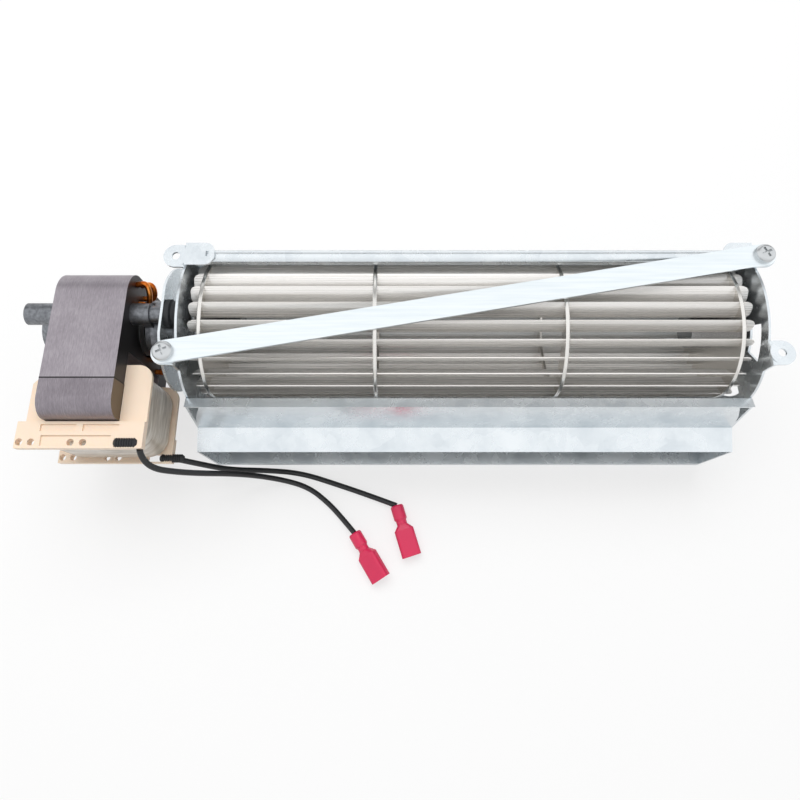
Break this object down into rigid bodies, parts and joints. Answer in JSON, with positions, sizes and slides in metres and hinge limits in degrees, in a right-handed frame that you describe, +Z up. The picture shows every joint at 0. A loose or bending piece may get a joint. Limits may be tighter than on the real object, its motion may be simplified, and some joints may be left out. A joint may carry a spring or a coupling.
{
  "type": "cross flow fan",
  "caption": "Tangential blower: long drum wheel with curved blades in a folded sheet casing, driven by an open shaded-pole motor on its left.",
  "frame": {"origin": "middle of the base: centre of the body's width and depth (cords left out), at the level of the feet of the end plates", "axes": "+X along the shaft from the motor to the free end, -Y out of the air outlet, +Z up through the open inlet"},
  "size_m": [0.3106, 0.1442, 0.0873],
  "materials": {
    "galvanised_sheet": "zinc spangle, satin",
    "bright_zinc_strap": "bright zinc plate",
    "zinc_plated_fastener": "zinc plate",
    "bright_wheel_steel": "bright rolled aluminium",
    "ground_steel": "ground",
    "lamination_steel": "varnished stack of electrical steel sheets",
    "cast_aluminium": "as cast",
    "bare_copper": null,
    "moulded_nylon": "natural beige, smooth",
    "wrapped_tape": "layers of clear yellowish tape",
    "die_cast_zinc": "die cast, tumbled",
    "sintered_bronze": "sintered, oiled",
    "black_rubber": "matt",
    "black_wire": "soft insulation",
    "red_nylon": "translucent moulded nylon",
    "tinned_brass": "tinned"
  },
  "bodies": {
    "casing": {"left_end_plate": "galvanised_sheet", "right_end_plate": "galvanised_sheet", "scroll_back_wall": "galvanised_sheet", "tongue_sheet": "galvanised_sheet", "brace_strap": "bright_zinc_strap", "brace_screws": "zinc_plated_fastener", "idle_rubber_mount": "black_rubber", "idle_bearing": "sintered_bronze", "motor_c_core": "lamination_steel", "motor_i_core": "lamination_steel", "shading_rings": "bare_copper", "coil_bobbin": "moulded_nylon", "coil_winding": "wrapped_tape", "drive_side_bracket": "die_cast_zinc", "outer_side_bracket": "die_cast_zinc", "drive_side_bearing": "sintered_bronze", "outer_side_bearing": "sintered_bronze", "bearing_retainers": "zinc_plated_fastener", "stack_bolts": "zinc_plated_fastener", "motor_mount_plate": "galvanised_sheet", "motor_grommets": "black_rubber", "motor_mount_screws": "zinc_plated_fastener", "lead_wire_a": "black_wire", "lead_wire_b": "black_wire", "terminal_sleeve_a": "red_nylon", "terminal_sleeve_b": "red_nylon", "terminal_socket_a": "tinned_brass", "terminal_socket_b": "tinned_brass"},
    "wheel": {"impeller_blades": "bright_wheel_steel", "middle_rings": "bright_wheel_steel", "drive_end_disc": "bright_wheel_steel", "idle_end_disc": "bright_wheel_steel", "drive_hub": "ground_steel", "hub_set_screw": "zinc_plated_fastener", "idle_hub": "ground_steel", "stub_shaft": "ground_steel", "motor_shaft": "ground_steel", "rotor_core": "lamination_steel", "rotor_end_rings": "cast_aluminium"}
  },
  "joints": [
    {"name": "wheel_spin", "type": "hinge", "parent": "casing", "child": "wheel", "pos_m": [0.02895, 0.00972, 0.05146], "axis": [1, 0, 0], "continuous": true}
  ]
}
